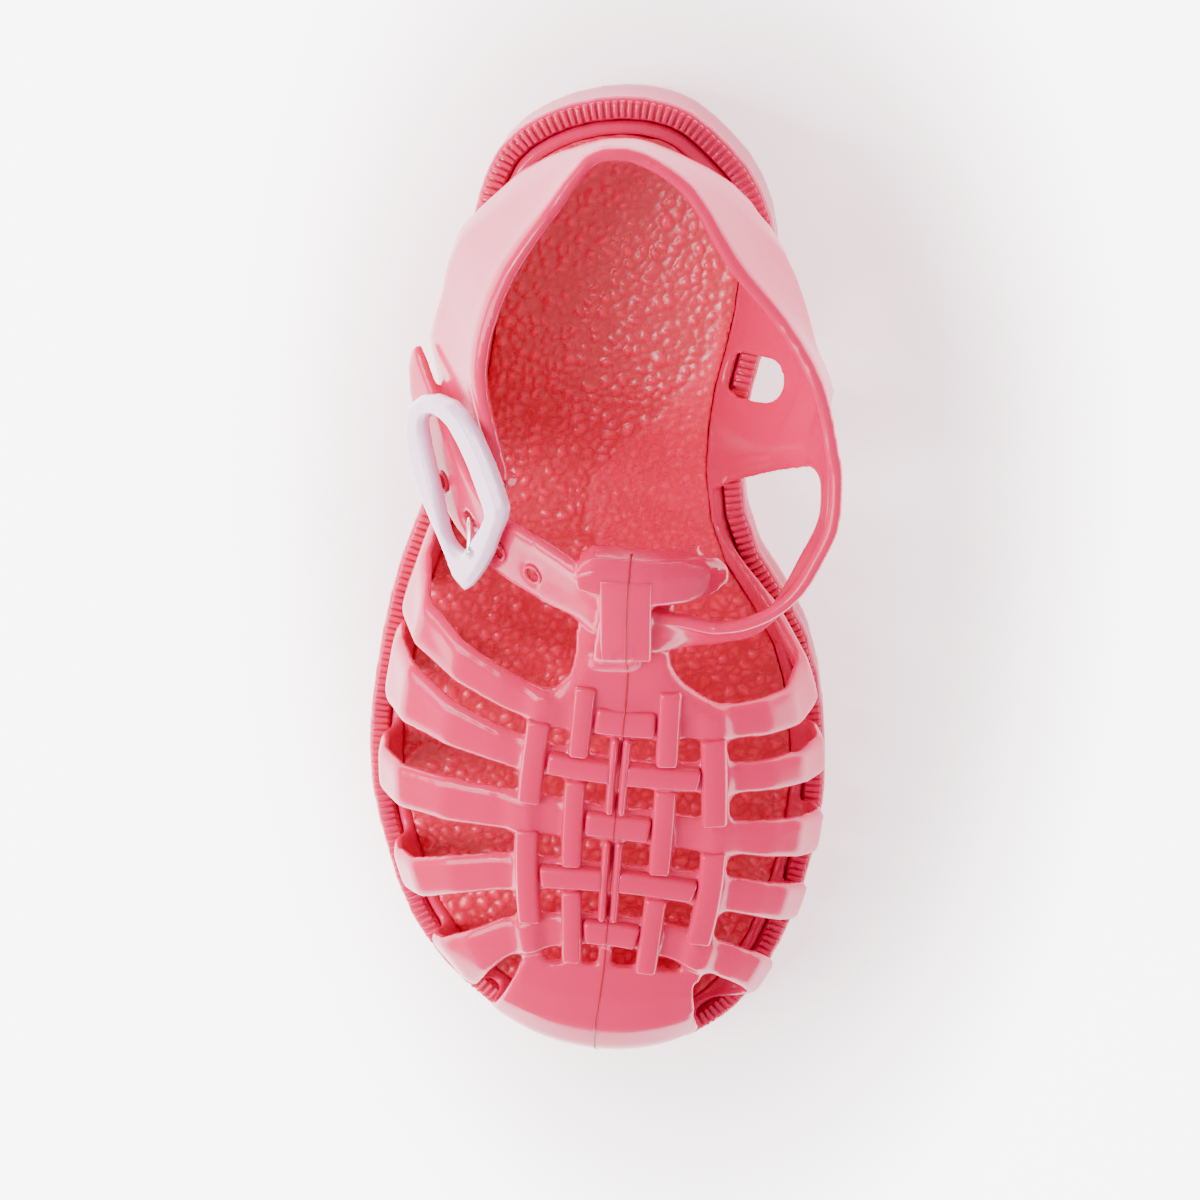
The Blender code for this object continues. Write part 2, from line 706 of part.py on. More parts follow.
def length_strip(name, collection):
    rear, front = LENGTH_STRIPS[name][:2]
    count = STRAP_STEPS
    rings = []
    for k in range(count + 1):
        along = rear + (front - rear) * k / count
        centre, width = strip_place(name, along)
        raise_share = 0.0
        for strap, rows in CROSS_STRAPS.items():
            if strip_on_top(strap, name):
                middle = (smooth_value(rows, 1, centre) + smooth_value(rows, 2, centre)) / 2
                half = (smooth_value(rows, 2, centre) - smooth_value(rows, 1, centre)) / 2
                raise_share = max(raise_share, plateau(along - middle, half))
        wall = WALL * 0.95 + WEAVE_RAISE * raise_share
        rings.append([on_last(along, centre + width * (v - 0.5), WEAVE_SEAT + (wall - WEAVE_SEAT) * h)
                      for v, h in STRAP_SECTION])
    return loft(name, rings, collection)


def toe_cap(collection):
    """Dome between its rear edge on the last and the edge of the sole."""
    start, end = TOE_CAP_FOOT
    outer_foot = Vector((feather_x(FEATHER_OUTER, y_at(start)), y_at(start), 0))
    inner_foot = Vector((feather_x(FEATHER_INNER, y_at(end)), y_at(end), 0))
    path = ([outer_foot] + [p for p in FEATHER_OUTER if p.y < outer_foot.y - MM]
            + [p for p in reversed(FEATHER_INNER[:-1]) if p.y < inner_foot.y - MM] + [inner_foot])
    lengths = [0.0]
    for a, b in zip(path, path[1:]):
        lengths.append(lengths[-1] + (b - a).length)
    columns = 16
    outer_side, inner_side = [], []
    for c in range(columns + 1):
        share = c / columns
        target = lengths[-1] * share
        i = max(k for k in range(len(path) - 1) if lengths[k] <= target + 1e-9)
        q = (target - lengths[i]) / (lengths[i + 1] - lengths[i])
        foot = path[i].lerp(path[i + 1], min(q, 1.0))
        foot.z = feather_z(along_at(foot.y))
        top = on_last(smooth_value(TOE_CAP_REAR, 1, share), smooth_value(TOE_CAP_REAR, 2, share), 0)
        out = Vector((foot.x - top.x, foot.y - top.y, 0)).normalized()
        column = []
        for _, way, up, belly in TOE_CAP_PROFILE:
            p = top.lerp(foot, way) + out * TOE_CAP_BULGE * belly
            p.z = foot.z + (top.z - foot.z) * up
            column.append(p)
        inner_side.append(column)
    rows = len(TOE_CAP_PROFILE)
    for c, column in enumerate(inner_side):
        before, after = inner_side[max(c - 1, 0)], inner_side[min(c + 1, columns)]
        lifted = []
        for r in range(rows):
            along_run = column[min(r + 1, rows - 1)] - column[max(r - 1, 0)]
            normal = along_run.cross(after[r] - before[r]).normalized()
            lifted.append(column[r] + normal * WALL)
        outer_side.append(lifted)
    rings = []
    for inner, outer in zip(inner_side, outer_side):
        foot = inner[-1]
        out = (outer[-1] - foot).to_2d().to_3d().normalized() * CAP_FOOT_HALF
        low_out, low_in = in_ring(foot, out, -FOOT_BELOW), in_ring(foot, -out, -FOOT_BELOW)
        top_out, top_in = in_ring(foot, out, FOOT_ABOVE), in_ring(foot, -out, FOOT_ABOVE)
        rings.append([clear_of_flange(p) for p in outer[:-1]] + [top_out, low_out, low_in, top_in]
                     + inner[-2::-1])
    return loft("toe cap", rings, collection)


def tongue(collection):
    rings = []
    count = 14
    rear, front = TONGUE[0][0], TONGUE[-1][0]
    for k in range(count + 1):
        along = rear + (front - rear) * k / count
        left = last_across(along, BALL_WIDTH * smooth_value(TONGUE, 1, along))
        right = last_across(along, BALL_WIDTH * smooth_value(TONGUE, 2, along))
        blend = min(1.0, max(0.0, (along - 0.485) / 0.03))
        wall = TONGUE_WALL + (WALL + TONGUE_STEP - TONGUE_WALL) * blend
        seat = -WEAVE_SEAT / 2
        ring = []
        for v, h in [(0, 0), (0, 0.6), (0.1, 1), (0.4, 1), (0.7, 1), (0.9, 1), (1, 0.6), (1, 0), (0.7, 0), (0.4, 0)]:
            ring.append(on_last(along, left + (right - left) * v, seat + (wall - seat) * h))
        rings.append(ring)
    return loft("tongue", rings, collection)


def bar_end(collection):
    rings = []
    for k in range(9):
        across = BAR_END[0][0] + (BAR_END[-1][0] - BAR_END[0][0]) * k / 8
        rear = smooth_value(BAR_END, 1, across)
        front = smooth_value(BAR_END, 2, across)
        ring = []
        for v, h in [(0, 0.0), (0, 0.7), (0.2, 1.0), (0.8, 1.0), (1, 0.7), (1, 0.0)]:
            along = rear + (front - rear) * v
            place = last_across(along, BALL_WIDTH * across)
            ring.append(on_last(along, place, BAR_END_HEIGHT * h))
        rings.append(ring)
    return loft("bar end", rings, collection)


def keeper(collection):
    """Strip over the ankle strap, from the tongue to the bar end."""
    rear, front = KEEPER_RUN
    over = TONGUE_WALL + GAP + WALL + GAP
    rings = []
    for k in range(11):
        share = k / 10
        along = rear + (front - rear) * share
        across = BALL_WIDTH * (KEEPER_ACROSS[0] + (KEEPER_ACROSS[1] - KEEPER_ACROSS[0]) * share)
        dip = min(1.0, max(0.0, (share - 0.74) / 0.26))
        base = over * (1 - dip) + WALL * 0.4 * dip
        ring = []
        for v, h in [(0, 0.0), (0, 0.65), (0.15, 1.0), (0.85, 1.0), (1, 0.65), (1, 0.0)]:
            place = last_across(along, across + KEEPER_WIDTH * (v - 0.5))
            ring.append(on_last(along, place, base + KEEPER_WALL * h))
        rings.append(ring)
    return loft("keeper", rings, collection)


def spot(shares):
    along, across, up = shares
    return Vector((BALL_WIDTH * across, y_at(along), COLLAR_HEIGHT * up))


def wall_point(station, down):
    """Point on the middle of the heel wall: station along it, share of the way to the foot."""
    def row_point(row):
        rim, widest, foot = (spot(row[k]) for k in (1, 2, 3))
        return (rim * (1 - down) * (1 - 2 * down) + widest * 4 * down * (1 - down)
                + foot * down * (2 * down - 1))

    i = min(int(station), len(HEEL_WALL) - 2)
    q = station - i
    pts = [row_point(HEEL_WALL[min(max(i + d, 0), len(HEEL_WALL) - 1)]) for d in (-1, 0, 1, 2)]
    return catmull(pts, q)


def catmull(pts, q):
    a, b, c, d = pts
    return (b * 2 + (c - a) * q + (a * 2 - b * 5 + c * 4 - d) * q ** 2
            + (b * 3 - a - c * 3 + d) * q ** 3) * 0.5


def on_tongue(shares):
    """Middle of the ankle strap's wall where it lies on the tongue."""
    along, across, _ = shares
    place = last_across(along, BALL_WIDTH * across)
    return on_last(along, place, TONGUE_WALL + GAP + WALL / 2)


def wall_rows():
    """Upper edge, middle and lower edge of the heel wall, station by station."""
    return [(wall_point(k, 0), wall_point(k, row[4] / 2), wall_point(k, row[4]))
            for k, row in enumerate(HEEL_WALL)]


def strap_rows():
    """The same for the ankle strap, from inside the front of the inner quarter."""
    last = len(HEEL_WALL) - 1
    rows = [(wall_point(k, 0), wall_point(k, STRAP_ROOT_REACH / 2), wall_point(k, STRAP_ROOT_REACH))
            for k in (last - 1, last)]
    for name, top, low in ANKLE_STRAP:
        ends = (on_tongue(top), on_tongue(low)) if name == "tongue" else (spot(top), spot(low))
        middle = ends[0].lerp(ends[1], 0.5)
        if name == "tongue":
            half = tuple((a + b) / 2 for a, b in zip(top, low))
            middle = on_tongue(half)
        rows.append((ends[0], middle, ends[1]))
    return rows


def band_frame(rows, station):
    """Upper, middle and lower points of the band at any station."""
    last = len(rows) - 1
    i = min(int(station), last - 1)
    picks = [rows[min(max(i + d, 0), last)] for d in (-1, 0, 1, 2)]
    return [catmull([row[c] for row in picks], station - i) for c in range(3)]


def band_point(rows, station, down, out):
    def surface(station, down):
        top, middle, low = band_frame(rows, station)
        return (top * (1 - down) * (1 - 2 * down) + middle * 4 * down * (1 - down)
                + low * down * (2 * down - 1))

    last = len(rows) - 1
    run = surface(min(station + 0.05, last), down) - surface(max(station - 0.05, 0), down)
    drop = surface(station, down + 0.02) - surface(station, down - 0.02)
    normal = run.cross(drop).normalized()
    return surface(station, down) + normal * out


def stands_in_ring(station):
    """Whether the heel wall comes down to the sole there."""
    near, far = HEEL_WALL[int(station)], HEEL_WALL[min(int(station + 0.5), len(HEEL_WALL) - 1)]
    return near[4] == far[4] == 1.0


def stand_in_ring(ring, low):
    """Bend the four lowest points of a section of the wall into the ring."""
    inner_side = low.x > 0
    foot = Vector((feather_x(FEATHER_INNER if inner_side else FEATHER_OUTER, low.y), low.y, 0))
    out = Vector((WALL_FOOT_HALF if inner_side else -WALL_FOOT_HALF, 0, 0))
    middle = len(ring) // 2
    for k, side, lift in ((-2, 1, 1), (-1, 1, -1), (0, -1, -1), (1, -1, 1)):
        ring[middle + k] = in_ring(foot, out * side, WALL_FOOT_HALF * lift)


def band_ring(section, rows, station, wall, bead):
    """Section of a band: its wall, with its rim swollen by the share of the bead."""
    top, _, low = band_frame(rows, station)
    height = (top - low).length
    sides = {1: [], -1: []}
    for down, swell in section:
        swell = swell * bead + min(1.0, swell) * (1 - bead)
        if down <= 0.18:
            down = down * min(1.0, BEAD_RUN / height)
        for side, points in sides.items():
            points.append(clear_of_flange(band_point(rows, station, down, side * swell * wall / 2)))
    return sides[1] + sides[-1][::-1]


def heel_wall(collection):
    """Heel band and both quarters in one sheet with a bead along its rim."""
    rows = wall_rows()
    rings = []
    for k in range(2 * len(rows) - 1):
        ring = band_ring(BAND_SECTION, rows, k / 2, WALL, 1.0)
        if stands_in_ring(k / 2):
            stand_in_ring(ring, band_frame(rows, k / 2)[2])
        rings.append(ring)
    return loft("heel wall", rings, collection)


def ankle_strap(collection):
    rows = strap_rows()
    last = len(rows) - 1
    rings = []
    for k in range(1, 2 * last + 1):
        bead = 1.0 - min(1.0, max(0.0, (k / 2 - last + TAIL_ROWS) / 2))
        rings.append(band_ring(STRAP_BAND_SECTION, rows, k / 2, WALL * STRAP_THINNER, bead))
    return loft("ankle strap", rings, collection)


def ring_of_upper(collection):
    """Rim all round the foot that joins the straps, let into the sole."""
    near = FLANGE_WIDTH + GAP
    far = near + RING_WIDTH
    floor = (flange_top, GAP - FOOTBED_DEPTH)
    top = (flange_top, RING_ABOVE_FLANGE)
    edge = (flange_top, RING_ABOVE_FLANGE * 0.3)
    rings = [at_height(outline(near), floor), at_height(outline(near), edge),
             at_height(outline((near + far) / 2), top),
             at_height(outline(far), edge), at_height(outline(far), floor)]
    return loft("ring", rings, collection, closed=True)


def strap_station(name, share):
    """Station of the ankle strap at a named row, and on towards the next."""
    return len(strap_rows()) - len(ANKLE_STRAP) + [row[0] for row in ANKLE_STRAP].index(name) + share


def buckle_axes():
    """Middle of the strap under the buckle, then the buckle's length, width and outward axes."""
    rows = strap_rows()
    station = strap_station(*BUCKLE_ROW)
    origin = band_point(rows, station, 0.5, 0.0)
    out = (band_point(rows, station, 0.5, WALL) - origin).normalized()
    run = Vector(BUCKLE_RUN)
    run = (run - out * run.dot(out)).normalized()
    out = Matrix.Rotation(BUCKLE_TILT, 3, run) @ out
    return origin, run, out.cross(run), out


def buckle_lift():
    """From the middle of the strap up to the middle of the frame."""
    return WALL * STRAP_THINNER / 2 + BUCKLE_OVER_STRAP + BUCKLE_THICKNESS / 2


def buckle_point(axes, length_share, width_share, up):
    """Point at shares of the buckle's length and width, a height above the strap's middle."""
    origin, run, across, out = axes
    return origin + run * BUCKLE_LENGTH * length_share + across * BUCKLE_WIDTH * width_share + out * up


def level_height(level):
    """Height above the strap's middle of a level: -1 the bar, 1 the top of the frame."""
    return level * (buckle_lift() + BUCKLE_THICKNESS / 2 if level > 0 else BAR_DEPTH)


def rod(name, path, radius, sides, collection):
    """Round rod along a path of points."""
    rings = []
    side = None
    for i, point in enumerate(path):
        run = (path[min(i + 1, len(path) - 1)] - path[max(i - 1, 0)]).normalized()
        if side is None:
            side = run.orthogonal().normalized()
        side = (side - run * side.dot(run)).normalized()
        other = run.cross(side)
        rings.append([point + (side * cos(2 * pi * k / sides) + other * sin(2 * pi * k / sides)) * radius
                      for k in range(sides)])
    return loft(name, rings, collection)


def bar_points(axes):
    return [buckle_point(axes, BAR_ALONG, across, level_height(level)) for across, level in BAR_PATH]


def prong_rise(axes):
    return [buckle_point(axes, *shares, level_height(level)) for *shares, level in PRONG_PATH]


def buckle_frame(collection, cutters):
    axes = buckle_axes()
    rings = []
    for outer, inner in BUCKLE_OUTLINE:
        ring = []
        for way, high in BUCKLE_SECTION:
            shares = [i + (o - i) * way for o, i in zip(outer, inner)]
            ring.append(buckle_point(axes, *shares, buckle_lift() + high * BUCKLE_THICKNESS / 2))
        rings.append(ring)
    frame = loft("buckle frame", rings, collection, closed=True)
    body = join_all("buckle_frame", [frame, rod("bar", bar_points(axes), BAR_RADIUS, 8, collection)])
    rest = prong_rise(axes)[PRONG_REST]
    rest.append(rest[-1] + (rest[-1] - rest[-2]).normalized() * GAP * 2)
    boolean(body, rod("notch", rest, PRONG_RADIUS + GAP, 8, cutters), "DIFFERENCE")
    return body


def prong_points():
    """Loop round the bar, then the way up through the strap."""
    axes = buckle_axes()
    middle = buckle_point(axes, BAR_ALONG, PRONG_ACROSS, level_height(-1.0))
    run, out = axes[1], axes[3]
    radius = BAR_RADIUS + GAP * 0.7 + PRONG_RADIUS
    start, end, steps = PRONG_LOOP
    loop = []
    for k in range(steps + 1):
        turn = start + (end - start) * k / steps
        loop.append(middle + (run * cos(turn) + out * sin(turn)) * radius)
    return loop + prong_rise(axes)


def buckle_prong(collection):
    return rod("buckle_prong", prong_points(), PRONG_RADIUS, 8, collection)


def sheath(collection):
    """Sleeve at the front of the outer quarter that holds the buckle's bar."""
    axes = buckle_axes()
    path = [buckle_point(axes, BAR_ALONG, share, level_height(-1.0)) for share in SHEATH_RUN]
    return rod("sheath", path, BAR_RADIUS + GAP + SHEATH_WALL, 12, collection)


def box(name, middle, axes, sizes, collection):
    """Block with rounded edges along its first axis."""
    bm = bmesh.new()
    bmesh.ops.create_cube(bm, size=1.0)
    bmesh.ops.scale(bm, vec=sizes, verts=bm.verts)
    edges = [e for e in bm.edges if abs((e.verts[0].co - e.verts[1].co).normalized().x) > 0.9]
    bmesh.ops.bevel(bm, geom=edges, offset=min(sizes[1], sizes[2]) * 0.3, segments=2, profile=0.5,
                    affect="EDGES", offset_type="OFFSET", material=-1)
    turn = Matrix(axes).transposed().to_4x4()
    turn.translation = middle
    bmesh.ops.transform(bm, matrix=turn, verts=bm.verts)
    return new_object(name, bm, collection)


def cut_upper(upper, cutters):
    """Bore and slot for the buckle, holes of the strap, window of the inner quarter."""
    axes = buckle_axes()
    bore = rod("bore", bar_points(axes)[BORE_PART], BAR_RADIUS + 1.5 * GAP, 12, cutters)
    boolean(upper, bore, "DIFFERENCE")

    around = BAR_RADIUS + GAP * 0.7 + 2 * PRONG_RADIUS
    middle = buckle_point(axes, BAR_ALONG, PRONG_ACROSS, level_height(-1.0))
    slot = box("slot", middle, axes[1:], (2 * (around + GAP), 2 * (PRONG_RADIUS + GAP), 2 * around),
               cutters)
    boolean(upper, slot, "DIFFERENCE")

    rows = strap_rows()
    holes = []
    for name, share, down in STRAP_HOLES:
        station = strap_station(name, share)
        holes.append([band_point(rows, station, down, side * WALL) for side in (-1, 1)])
    holes.append(prong_rise(axes)[PRONG_HOLE])
    for ends in holes:
        boolean(upper, rod("hole", ends, STRAP_HOLE / 2, 12, cutters), "DIFFERENCE")

    y = y_at(WINDOW_ALONG)
    foot = flange_top(WINDOW_ALONG) + RING_ABOVE_FLANGE + GAP
    middle = Vector((feather_x(FEATHER_INNER, y) + WINDOW_HEIGHT / 3, y, foot + WINDOW_HEIGHT / 2))
    window = box("window", middle, ((1, 0, 0), (0, 1, 0), (0, 0, 1)),
                 (2 * WINDOW_HEIGHT, WINDOW_LENGTH, WINDOW_HEIGHT), cutters)
    boolean(upper, window, "DIFFERENCE")


def make_upper(collection, cutters):
    parts = [ring_of_upper(collection), toe_cap(collection), tongue(collection)]
    parts += [cross_strap(name, collection) for name in CROSS_STRAPS]
    parts += [length_strip(name, collection) for name in LENGTH_STRIPS]
    parts += [heel_wall(collection), ankle_strap(collection)]
    parts += [bar_end(collection), keeper(collection), sheath(collection)]
    upper = join_all("upper", parts)
    cut_upper(upper, cutters)
    return upper


def cut_tread(sole, cutters):
    """Cross grooves in the underside of the heel and the forefoot."""
    edge = outline(TREAD_MARGIN)
    outer = edge[:OUTLINE_STEPS + 1]
    inner = [edge[0]] + edge[:OUTLINE_STEPS - 1:-1]
    for along in TREAD_GROOVES:
        y = y_at(along)
        ends = feather_x(outer, y), feather_x(inner, y)
        middle = Vector(((ends[0] + ends[1]) / 2, y, 0))
        groove = box("groove", middle, ((1, 0, 0), (0, 1, 0), (0, 0, 1)),
                     (ends[1] - ends[0], TREAD_GROOVE, 2 * TREAD_DEPTH), cutters)
        boolean(sole, groove, "DIFFERENCE")


def make_sole(collection):
    wall_top = (flange_top, -FLANGE_THICKNESS)
    rings = [
        at_height(outline(FLANGE_OVERHANG * 0.3), (underside, 0.0)),
        at_height(outline(0.0), (underside, 1.2 * MM)),
        at_height(outline(FLANGE_OVERHANG), wall_top),
        at_height(outline(0.0), wall_top),
        at_height(outline(0.0), (flange_top, -0.5 * MM)),
        at_height(outline(0.6 * MM), (flange_top, 0.0)),
        at_height(outline(FLANGE_WIDTH), (flange_top, 0.0)),
        at_height(outline(FLANGE_WIDTH), (flange_top, -FOOTBED_DEPTH)),
    ]
    bm = bmesh.new()
    rows = [[bm.verts.new(p) for p in ring] for ring in rings]
    for low, high in zip(rows, rows[1:]):
        for i in range(len(low)):
            j = (i + 1) % len(low)
            bm.faces.new((low[i], low[j], high[j], high[i]))
    ladder(bm, rows[0], 1, lambda side: 0.0)
    ladder(bm, rows[-1], 1, lambda side: 0.0)
    return new_object("sole", bm, collection)


def make_insole(collection):
    edge = outline(FLANGE_WIDTH + GAP + RING_WIDTH + GAP)
    rings = [at_height(edge, (flange_top, GAP - FOOTBED_DEPTH)), at_height(edge, (flange_top, INSOLE_ABOVE_FLANGE))]
    bm = bmesh.new()
    rows = [[bm.verts.new(p) for p in ring] for ring in rings]
    for i in range(len(edge)):
        j = (i + 1) % len(edge)
        bm.faces.new((rows[0][i], rows[0][j], rows[1][j], rows[1][i]))
    ladder(bm, rows[0], 1, lambda side: 0.0)
    ladder(bm, rows[1], 6, lambda side: -INSOLE_DISH * (1 - side * side))
    return new_object("insole", bm, collection)


def centre_on_floor(collection):
    """Put the origin under the middle of the shoe."""
    points = [v.co for obj in collection.objects for v in obj.data.vertices]
    middle = Vector([(min(p[i] for p in points) + max(p[i] for p in points)) / 2 for i in range(3)])
    middle.z = min(p.z for p in points)
    for obj in collection.objects:
        obj.data.transform(Matrix.Translation(-middle))


def main():
    for old in list(bpy.data.objects):
        bpy.data.objects.remove(old)
    shoe = bpy.data.collections.new("jelly_sandal")
    cutters = bpy.data.collections.new("cutters")
    for collection in (shoe, cutters):
        bpy.context.scene.collection.children.link(collection)
    jelly = material("jelly plastic", JELLY, UPPER_ROUGHNESS)
    deep = material("footbed plastic", JELLY_DEEP, 0.45)
    sole = make_sole(shoe)
    cut_tread(sole, cutters)
    shade(sole, jelly)
    shade(make_insole(shoe), deep)
    shade(make_upper(shoe, cutters), jelly)
    shade(buckle_frame(shoe, cutters), material("buckle plastic", BUCKLE_WHITE, 0.15))
    shade(buckle_prong(shoe), material("prong metal", PRONG_METAL, 0.2, metallic=1.0))
    centre_on_floor(shoe)


if __name__ == "__main__":
    main()
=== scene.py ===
# Dresses the moulded jelly sandal: glossy PVC upper and sole, pebbled footbed, plastic buckle
import math

import bmesh
import bpy
from mathutils import Matrix, Vector, noise
from mathutils.bvhtree import BVHTree


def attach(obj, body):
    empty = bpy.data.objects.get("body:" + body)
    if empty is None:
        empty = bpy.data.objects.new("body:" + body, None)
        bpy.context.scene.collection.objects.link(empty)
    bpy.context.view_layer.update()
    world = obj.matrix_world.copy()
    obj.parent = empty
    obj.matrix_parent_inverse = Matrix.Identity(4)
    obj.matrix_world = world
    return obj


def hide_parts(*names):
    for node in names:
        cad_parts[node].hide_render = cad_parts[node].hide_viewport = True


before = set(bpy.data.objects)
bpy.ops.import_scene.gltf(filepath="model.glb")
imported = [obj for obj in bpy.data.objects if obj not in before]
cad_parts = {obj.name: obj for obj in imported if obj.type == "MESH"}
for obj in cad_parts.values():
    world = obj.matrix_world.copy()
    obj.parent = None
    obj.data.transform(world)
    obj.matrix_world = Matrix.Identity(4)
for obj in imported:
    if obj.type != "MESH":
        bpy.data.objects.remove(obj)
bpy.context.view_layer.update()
mm = 0.001


# Node helpers for the materials

def newMaterial(name):
    mat = bpy.data.materials.new(name)
    mat.use_nodes = True
    tree = mat.node_tree
    return mat, tree, tree.nodes["Principled BSDF"]


def place(tree):
    return tree.nodes.new("ShaderNodeTexCoord").outputs["Object"]


def cloud(tree, vector, scale, detail=2.0):
    tex = tree.nodes.new("ShaderNodeTexNoise")
    tex.inputs["Scale"].default_value = scale
    tex.inputs["Detail"].default_value = detail
    tree.links.new(vector, tex.inputs["Vector"])
    return tex.outputs["Fac"]


def spread(tree, value, low, high):
    node = tree.nodes.new("ShaderNodeMapRange")
    node.inputs["To Min"].default_value = low
    node.inputs["To Max"].default_value = high
    tree.links.new(value, node.inputs["Value"])
    return node.outputs["Result"]


def bump(tree, height, strength, distance, below=None):
    node = tree.nodes.new("ShaderNodeBump")
    node.inputs["Strength"].default_value = strength
    node.inputs["Distance"].default_value = distance
    tree.links.new(height, node.inputs["Height"])
    if below:
        tree.links.new(below, node.inputs["Normal"])
    return node.outputs["Normal"]


def blend(tree, factor, first, second):
    node = tree.nodes.new("ShaderNodeMix")
    node.data_type = "RGBA"
    node.inputs["A"].default_value = first
    node.inputs["B"].default_value = second
    tree.links.new(factor, node.inputs["Factor"])
    return node.outputs["Result"]


# Materials

def jellyPvc():  # soft translucent PVC, a little cloudy, with a moulded gloss
    look = {"colour": (0.70, 0.001, 0.098, 1), "deep": (0.60, 0.001, 0.070, 1), "roughness": (0.15, 0.23),
            "glow": 0.30, "reach": 2.5 * mm, "waves": 0.25 * mm}
    mat, tree, shader = newMaterial("jellyPvc")
    where = place(tree)
    tree.links.new(blend(tree, cloud(tree, where, 45, 3), look["colour"], look["deep"]),
                   shader.inputs["Base Color"])
    tree.links.new(spread(tree, cloud(tree, where, 220), *look["roughness"]), shader.inputs["Roughness"])
    fine = bump(tree, cloud(tree, where, 900), 0.10, 0.1 * mm)
    wavy = bump(tree, cloud(tree, where, 160, 1), 0.15, look["waves"], fine)
    tree.links.new(wavy, shader.inputs["Normal"])
    shader.inputs["Subsurface Weight"].default_value = look["glow"]
    shader.inputs["Subsurface Radius"].default_value = (1.0, 0.25, 0.25)
    shader.inputs["Subsurface Scale"].default_value = look["reach"]
    shader.inputs["Coat Weight"].default_value = 0.12
    shader.inputs["Coat Roughness"].default_value = 0.06
    shader.inputs["IOR"].default_value = 1.5
    shader.inputs["Specular IOR Level"].default_value = 0.30
    return mat


def seamPvc():
    mat, tree, shader = newMaterial("seamPvc")
    tint = blend(tree, cloud(tree, place(tree), 300), (0.34, 0.001, 0.020, 1), (0.46, 0.001, 0.035, 1))
    tree.links.new(tint, shader.inputs["Base Color"])
    shader.inputs["Roughness"].default_value = 0.3
    shader.inputs["Specular IOR Level"].default_value = 0.2
    return mat


def pebbledPvc():  # footbed: deeper red, with painted shade darkening the gaps between its pebbles
    look = {"colour": (0.92, 0.001, 0.100, 1), "deep": (0.54, 0.001, 0.028, 1), "roughness": (0.22, 0.36)}
    mat, tree, shader = newMaterial("pebbledPvc")
    where = place(tree)
    gapShadeNode = tree.nodes.new("ShaderNodeAttribute")
    gapShadeNode.attribute_name = "paintedGapShade"
    # the deep colour stands for painted shade, mixed in by each vertex's gap amount
    tint = blend(tree, gapShadeNode.outputs["Fac"], look["colour"], look["deep"])
    tree.links.new(tint, shader.inputs["Base Color"])
    tree.links.new(spread(tree, cloud(tree, where, 500), *look["roughness"]), shader.inputs["Roughness"])
    tree.links.new(bump(tree, cloud(tree, where, 1400, 3), 0.5, 0.12 * mm), shader.inputs["Normal"])
    shader.inputs["Subsurface Weight"].default_value = 0.15
    shader.inputs["Subsurface Radius"].default_value = (1.0, 0.2, 0.2)
    shader.inputs["Subsurface Scale"].default_value = 1.2 * mm
    shader.inputs["Coat Weight"].default_value = 0.25
    shader.inputs["Coat Roughness"].default_value = 0.15
    return mat


def milkyPlastic():
    mat, tree, shader = newMaterial("milkyPlastic")
    where = place(tree)
    tree.links.new(blend(tree, cloud(tree, where, 90), (0.84, 0.56, 0.76, 1), (0.88, 0.62, 0.80, 1)),
                   shader.inputs["Base Color"])
    shader.inputs["Roughness"].default_value = 0.16
    shader.inputs["Transmission Weight"].default_value = 0.12
    shader.inputs["Subsurface Weight"].default_value = 0.5
    shader.inputs["Subsurface Radius"].default_value = (1.0, 0.95, 1.0)
    shader.inputs["Subsurface Scale"].default_value = 2.0 * mm
    shader.inputs["Coat Weight"].default_value = 0.5
    shader.inputs["Coat Roughness"].default_value = 0.05
    return mat


def polishedSteel():
    mat, tree, shader = newMaterial("polishedSteel")
    shader.inputs["Base Color"].default_value = (0.78, 0.78, 0.77, 1)
    shader.inputs["Metallic"].default_value = 1.0
    tree.links.new(spread(tree, cloud(tree, place(tree), 400), 0.12, 0.22), shader.inputs["Roughness"])
    return mat


jelly = jellyPvc()
seam = seamPvc()
pebbled = pebbledPvc()
milky = milkyPlastic()
steel = polishedSteel()


# Mesh helpers

def addObject(name, bm, mat):
    mesh = bpy.data.meshes.new(name)
    bm.to_mesh(mesh)
    bm.free()
    mesh.materials.append(mat)
    mesh.shade_smooth()
    obj = bpy.data.objects.new(name, mesh)
    bpy.context.scene.collection.objects.link(obj)
    return obj


def mergedCopy(node):
    bm = bmesh.new()
    bm.from_mesh(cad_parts[node].data)
    bmesh.ops.remove_doubles(bm, verts=bm.verts, dist=0.005 * mm)
    return bm


def settle(obj):  # apply an object's modifiers
    bpy.context.view_layer.update()
    depsgraph = bpy.context.evaluated_depsgraph_get()
    mesh = bpy.data.meshes.new_from_object(obj.evaluated_get(depsgraph))
    obj.modifiers.clear()
    mesh.validate()
    obj.data = mesh
    obj.data.shade_smooth()


